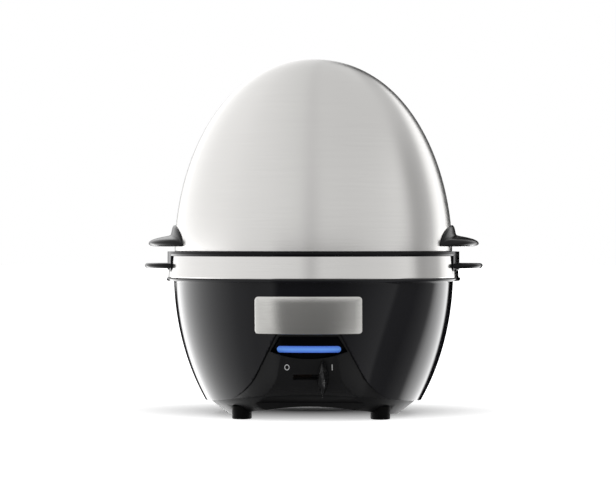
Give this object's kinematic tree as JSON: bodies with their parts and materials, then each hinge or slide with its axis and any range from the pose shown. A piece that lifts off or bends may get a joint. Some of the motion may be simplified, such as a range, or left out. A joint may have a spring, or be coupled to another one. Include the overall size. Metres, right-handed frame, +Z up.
{
  "type": "egg cooker",
  "caption": "Table-top egg cooker: egg-shaped brushed steel lid with side handles, lift-out egg tray, round black base with a slide switch, light bar and rubber feet.",
  "frame": {"origin": "on the table under the middle of the cooker", "axes": "+Z up, the control side faces -Y and the handles lie along X"},
  "size_m": [0.191, 0.1658, 0.2003],
  "materials": {
    "brushed_steel": "fine horizontal brushing",
    "gloss_black": "gloss moulding",
    "satin_black": "satin moulding",
    "badge_nickel": "brushed, with a bright border",
    "smoked_window": "dark polished window",
    "blue_lens": "frosted lens",
    "circuit_board": "varnished board",
    "lamp_resin": "clear resin",
    "screw_steel": "plated",
    "dish_steel": "spun",
    "seal_rubber": "moulded silicone",
    "element_metal": "drawn tube",
    "sheet_metal": "plated sheet",
    "phenolic": "moulded",
    "white_nylon": "moulded",
    "contact_brass": "stamped",
    "foot_rubber": "moulded"
  },
  "bodies": {
    "base": {"trim_band": "brushed_steel", "bowl_shell": "gloss_black", "control_fascia": "satin_black", "badge_plate": "badge_nickel", "indicator_window": "smoked_window", "light_bar": "blue_lens", "lamp_board": "circuit_board", "lamps": "lamp_resin", "board_screws": "screw_steel", "buzzer": "phenolic", "switch_body": "phenolic", "switch_terminals": "contact_brass", "switch_screws": "screw_steel", "heating_dish": "dish_steel", "dish_seal": "seal_rubber", "heating_element": "element_metal", "element_clamp": "sheet_metal", "thermostat": "phenolic", "thermal_fuse": "sheet_metal", "spacer_sleeve": "sheet_metal", "heat_shield": "sheet_metal", "tie_nut": "screw_steel", "shield_screws": "screw_steel", "base_pan": "satin_black", "housing_screws": "screw_steel", "cord_gland": "foot_rubber", "terminal_block": "white_nylon", "foot_front_left": "foot_rubber", "foot_front_right": "foot_rubber", "foot_rear_left": "foot_rubber", "foot_rear_right": "foot_rubber"},
    "tray": {"egg_tray": "satin_black"},
    "lid": {"lid_dome": "brushed_steel", "lid_handle_right": "satin_black", "lid_handle_left": "satin_black", "lid_handle_screws": "screw_steel"},
    "switch": {"switch_lever": "satin_black", "switch_carriage": "white_nylon"}
  },
  "joints": [
    {"name": "tray_lift", "type": "slide", "parent": "base", "child": "tray", "axis": [0, 0, 1], "range_m": [0, 0.08]},
    {"name": "lid_lift", "type": "slide", "parent": "tray", "child": "lid", "axis": [0, 0, 1], "range_m": [0, 0.12]},
    {"name": "switch_slide", "type": "slide", "parent": "base", "child": "switch", "axis": [1, 0, 0], "range_m": [-0.0146, 0]}
  ]
}
